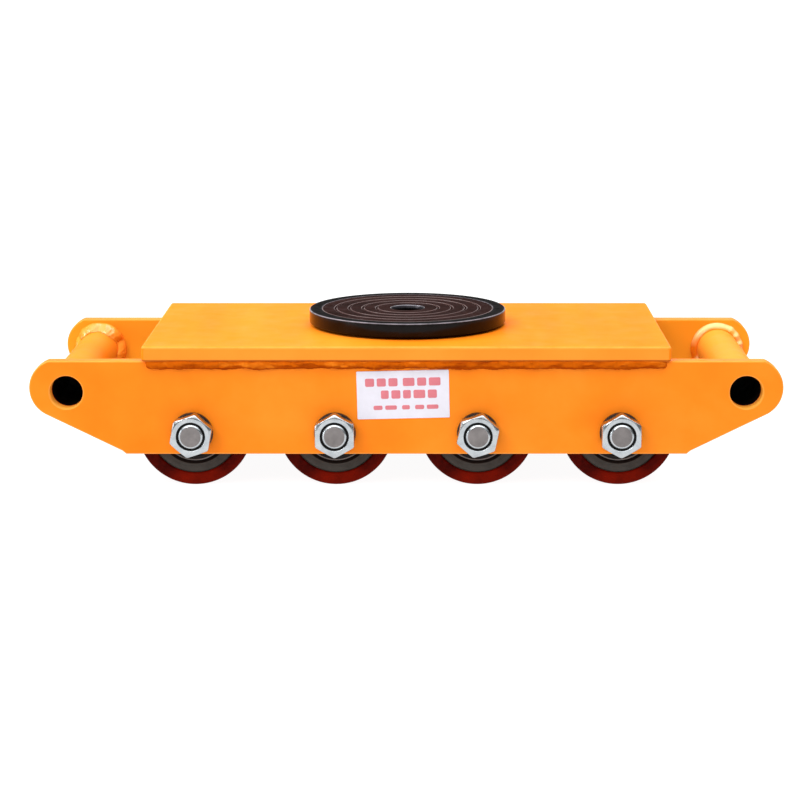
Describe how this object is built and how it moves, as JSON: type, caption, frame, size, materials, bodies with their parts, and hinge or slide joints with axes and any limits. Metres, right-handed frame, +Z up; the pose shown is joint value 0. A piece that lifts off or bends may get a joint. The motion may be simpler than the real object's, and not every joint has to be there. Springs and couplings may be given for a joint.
{
  "type": "load moving skate",
  "caption": "Low welded steel machinery skate on paired polyurethane wheels, with a tie tube at each end and a swivelling ring-grooved load table.",
  "frame": {"origin": "on the ground, under the middle of the frame", "axes": "+X along the frame, +Y across it from the nut side to the bolt-head side, +Z up"},
  "size_m": [0.58, 0.2375, 0.126],
  "materials": {
    "yellow_paint": "satin",
    "zinc_steel": "bright zinc",
    "dark_spring_steel": "blackened",
    "black_oxide_steel": "black oxide",
    "bearing_steel": "ground",
    "cage_brass": "turned",
    "cast_iron": "machined, dull",
    "red_polyurethane": "semi-gloss",
    "black_enamel": "gloss",
    "pad_rubber": "moulded",
    "label_film": "printed film"
  },
  "bodies": {
    "frame": {"side_plate_front": "yellow_paint", "side_plate_rear": "yellow_paint", "deck_plate": "yellow_paint", "bolster_plate": "yellow_paint", "tie_tube_left": "yellow_paint", "tie_tube_right": "yellow_paint", "deck_welds": "yellow_paint", "tube_welds": "yellow_paint", "label": "label_film", "axle_bolts": "zinc_steel", "axle_nuts": "zinc_steel", "spring_washers": "dark_spring_steel", "flat_washers": "zinc_steel", "side_spacers": "zinc_steel", "middle_spacers": "zinc_steel", "bearing_sleeves": "zinc_steel", "bearing_inner_races": "bearing_steel", "thrust_race_lower": "bearing_steel", "pivot_screw": "black_oxide_steel", "pivot_washer": "zinc_steel", "pivot_nut": "zinc_steel"},
    "load_table": {"load_table": "black_enamel", "grip_pad": "pad_rubber", "thrust_race_upper": "bearing_steel"},
    "thrust_ring": {"thrust_cage": "cage_brass", "thrust_ball_ring": "bearing_steel"},
    "wheel_front_1": {"tread_front_1": "red_polyurethane", "hub_front_1": "cast_iron", "bearing_shells_front_1": "bearing_steel"},
    "balls_front_1": {"bearing_balls_front_1": "bearing_steel"},
    "wheel_front_2": {"tread_front_2": "red_polyurethane", "hub_front_2": "cast_iron", "bearing_shells_front_2": "bearing_steel"},
    "balls_front_2": {"bearing_balls_front_2": "bearing_steel"},
    "wheel_front_3": {"tread_front_3": "red_polyurethane", "hub_front_3": "cast_iron", "bearing_shells_front_3": "bearing_steel"},
    "balls_front_3": {"bearing_balls_front_3": "bearing_steel"},
    "wheel_front_4": {"tread_front_4": "red_polyurethane", "hub_front_4": "cast_iron", "bearing_shells_front_4": "bearing_steel"},
    "balls_front_4": {"bearing_balls_front_4": "bearing_steel"},
    "wheel_rear_1": {"tread_rear_1": "red_polyurethane", "hub_rear_1": "cast_iron", "bearing_shells_rear_1": "bearing_steel"},
    "balls_rear_1": {"bearing_balls_rear_1": "bearing_steel"},
    "wheel_rear_2": {"tread_rear_2": "red_polyurethane", "hub_rear_2": "cast_iron", "bearing_shells_rear_2": "bearing_steel"},
    "balls_rear_2": {"bearing_balls_rear_2": "bearing_steel"},
    "wheel_rear_3": {"tread_rear_3": "red_polyurethane", "hub_rear_3": "cast_iron", "bearing_shells_rear_3": "bearing_steel"},
    "balls_rear_3": {"bearing_balls_rear_3": "bearing_steel"},
    "wheel_rear_4": {"tread_rear_4": "red_polyurethane", "hub_rear_4": "cast_iron", "bearing_shells_rear_4": "bearing_steel"},
    "balls_rear_4": {"bearing_balls_rear_4": "bearing_steel"}
  },
  "joints": [
    {"name": "turntable_swivel", "type": "hinge", "parent": "frame", "child": "load_table", "pos_m": [0, 0, 0.118], "axis": [0, 0, 1], "continuous": true},
    {"name": "thrust_ring_turn", "type": "hinge", "parent": "frame", "child": "thrust_ring", "pos_m": [0, 0, 0.1095], "axis": [0, 0, 1], "continuous": true},
    {"name": "wheel_front_1_spin", "type": "hinge", "parent": "frame", "child": "wheel_front_1", "pos_m": [-0.165, -0.0465, 0.045], "axis": [0, 1, 0], "continuous": true},
    {"name": "balls_front_1_spin", "type": "hinge", "parent": "frame", "child": "balls_front_1", "pos_m": [-0.165, -0.0465, 0.045], "axis": [0, 1, 0], "continuous": true},
    {"name": "wheel_front_2_spin", "type": "hinge", "parent": "frame", "child": "wheel_front_2", "pos_m": [-0.055, -0.0465, 0.045], "axis": [0, 1, 0], "continuous": true},
    {"name": "balls_front_2_spin", "type": "hinge", "parent": "frame", "child": "balls_front_2", "pos_m": [-0.055, -0.0465, 0.045], "axis": [0, 1, 0], "continuous": true},
    {"name": "wheel_front_3_spin", "type": "hinge", "parent": "frame", "child": "wheel_front_3", "pos_m": [0.055, -0.0465, 0.045], "axis": [0, 1, 0], "continuous": true},
    {"name": "balls_front_3_spin", "type": "hinge", "parent": "frame", "child": "balls_front_3", "pos_m": [0.055, -0.0465, 0.045], "axis": [0, 1, 0], "continuous": true},
    {"name": "wheel_front_4_spin", "type": "hinge", "parent": "frame", "child": "wheel_front_4", "pos_m": [0.165, -0.0465, 0.045], "axis": [0, 1, 0], "continuous": true},
    {"name": "balls_front_4_spin", "type": "hinge", "parent": "frame", "child": "balls_front_4", "pos_m": [0.165, -0.0465, 0.045], "axis": [0, 1, 0], "continuous": true},
    {"name": "wheel_rear_1_spin", "type": "hinge", "parent": "frame", "child": "wheel_rear_1", "pos_m": [-0.165, 0.0465, 0.045], "axis": [0, 1, 0], "continuous": true},
    {"name": "balls_rear_1_spin", "type": "hinge", "parent": "frame", "child": "balls_rear_1", "pos_m": [-0.165, 0.0465, 0.045], "axis": [0, 1, 0], "continuous": true},
    {"name": "wheel_rear_2_spin", "type": "hinge", "parent": "frame", "child": "wheel_rear_2", "pos_m": [-0.055, 0.0465, 0.045], "axis": [0, 1, 0], "continuous": true},
    {"name": "balls_rear_2_spin", "type": "hinge", "parent": "frame", "child": "balls_rear_2", "pos_m": [-0.055, 0.0465, 0.045], "axis": [0, 1, 0], "continuous": true},
    {"name": "wheel_rear_3_spin", "type": "hinge", "parent": "frame", "child": "wheel_rear_3", "pos_m": [0.055, 0.0465, 0.045], "axis": [0, 1, 0], "continuous": true},
    {"name": "balls_rear_3_spin", "type": "hinge", "parent": "frame", "child": "balls_rear_3", "pos_m": [0.055, 0.0465, 0.045], "axis": [0, 1, 0], "continuous": true},
    {"name": "wheel_rear_4_spin", "type": "hinge", "parent": "frame", "child": "wheel_rear_4", "pos_m": [0.165, 0.0465, 0.045], "axis": [0, 1, 0], "continuous": true},
    {"name": "balls_rear_4_spin", "type": "hinge", "parent": "frame", "child": "balls_rear_4", "pos_m": [0.165, 0.0465, 0.045], "axis": [0, 1, 0], "continuous": true}
  ],
  "couplings": [
    {"joint": "thrust_ring_turn", "follows": "turntable_swivel", "ratio": 0.5},
    {"joint": "balls_front_1_spin", "follows": "wheel_front_1_spin", "ratio": 0.626},
    {"joint": "balls_front_2_spin", "follows": "wheel_front_2_spin", "ratio": 0.626},
    {"joint": "balls_front_3_spin", "follows": "wheel_front_3_spin", "ratio": 0.626},
    {"joint": "balls_front_4_spin", "follows": "wheel_front_4_spin", "ratio": 0.626},
    {"joint": "balls_rear_1_spin", "follows": "wheel_rear_1_spin", "ratio": 0.626},
    {"joint": "balls_rear_2_spin", "follows": "wheel_rear_2_spin", "ratio": 0.626},
    {"joint": "balls_rear_3_spin", "follows": "wheel_rear_3_spin", "ratio": 0.626},
    {"joint": "balls_rear_4_spin", "follows": "wheel_rear_4_spin", "ratio": 0.626}
  ]
}
